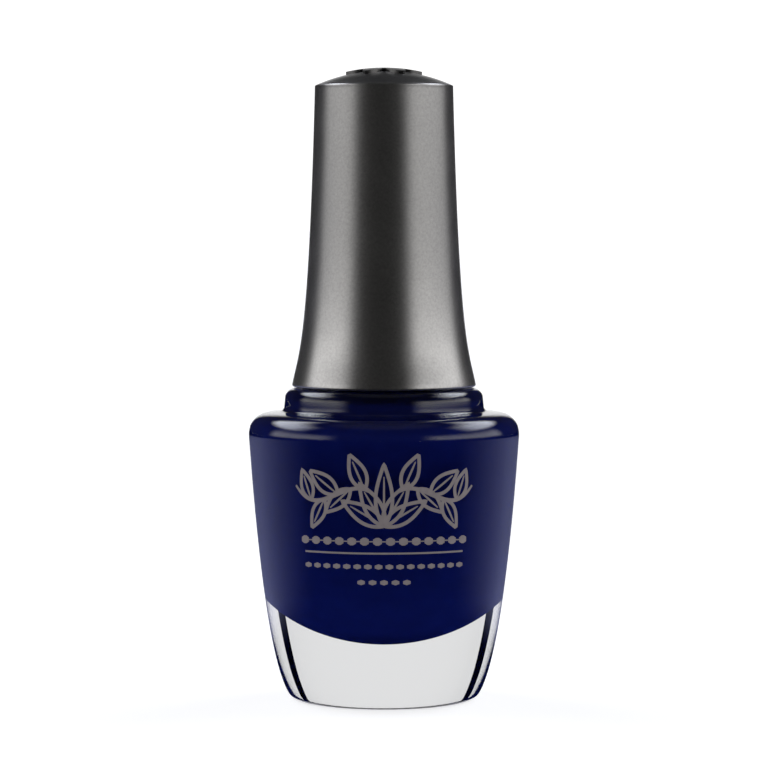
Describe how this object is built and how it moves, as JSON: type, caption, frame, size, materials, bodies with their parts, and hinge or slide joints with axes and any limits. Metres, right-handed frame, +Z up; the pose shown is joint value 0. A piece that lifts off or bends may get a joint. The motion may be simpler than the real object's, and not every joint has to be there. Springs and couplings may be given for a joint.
{
  "type": "nail polish bottle",
  "caption": "Round clear glass nail polish bottle with a heavy base, filled with lacquer, and a tall tapered screw cap that carries the brush.",
  "frame": {"origin": "centre of the glass foot ring, on the surface the bottle stands on", "axes": "+Z up along the bottle's axis; the flat brush is widest along X, and -Y is the front with the printed ornament"},
  "size_m": [0.035, 0.035, 0.0815],
  "materials": {
    "glass": "clear, polished",
    "lacquer": "wet, deep blue",
    "label": "matte",
    "ball_steel": "polished",
    "gasket": "soft foamed polyethylene",
    "stem": "moulded black",
    "bristle": "nylon filament",
    "anchor": "bright",
    "closure": "moulded polypropylene",
    "cap": "satin metallic grey",
    "ornament": "satin metallic grey"
  },
  "bodies": {
    "bottle": {"glass_bottle": "glass", "lacquer": "lacquer", "base_label": "label"},
    "seal": {"sealing_gasket": "gasket"},
    "brush": {"brush_stem": "stem", "bristle_tuft": "bristle", "tuft_anchor": "anchor"},
    "cap": {"outer_cap": "cap", "inner_cap": "closure", "top_ornament": "ornament"},
    "ball_front": {"mixing_ball_front": "ball_steel"},
    "ball_back": {"mixing_ball_back": "ball_steel"}
  },
  "joints": [
    {"name": "cap_lift", "type": "slide", "parent": "bottle", "child": "seal", "axis": [0, 0, 1], "range_m": [0, 0.048], "deforming": ["lacquer"]},
    {"name": "thread_rise", "type": "slide", "parent": "seal", "child": "brush", "axis": [0, 0, 1], "range_m": [0, 0.00318], "deforming": ["lacquer"]},
    {"name": "cap_twist", "type": "hinge", "parent": "brush", "child": "cap", "pos_m": [0, 0, 0.0532], "axis": [0, 0, 1], "range_deg": [0, 540]},
    {"name": "ball_front_roll", "type": "slide", "parent": "bottle", "child": "ball_front", "axis": [0, -0.5736, 0.8192], "range_m": [0, 0.015], "deforming": ["lacquer"]},
    {"name": "ball_back_roll", "type": "slide", "parent": "bottle", "child": "ball_back", "axis": [0, 0.5736, 0.8192], "range_m": [0, 0.015], "deforming": ["lacquer"]}
  ],
  "couplings": [
    {"joint": "thread_rise", "follows": "cap_twist", "m_per_rad": 0.00033693}
  ]
}
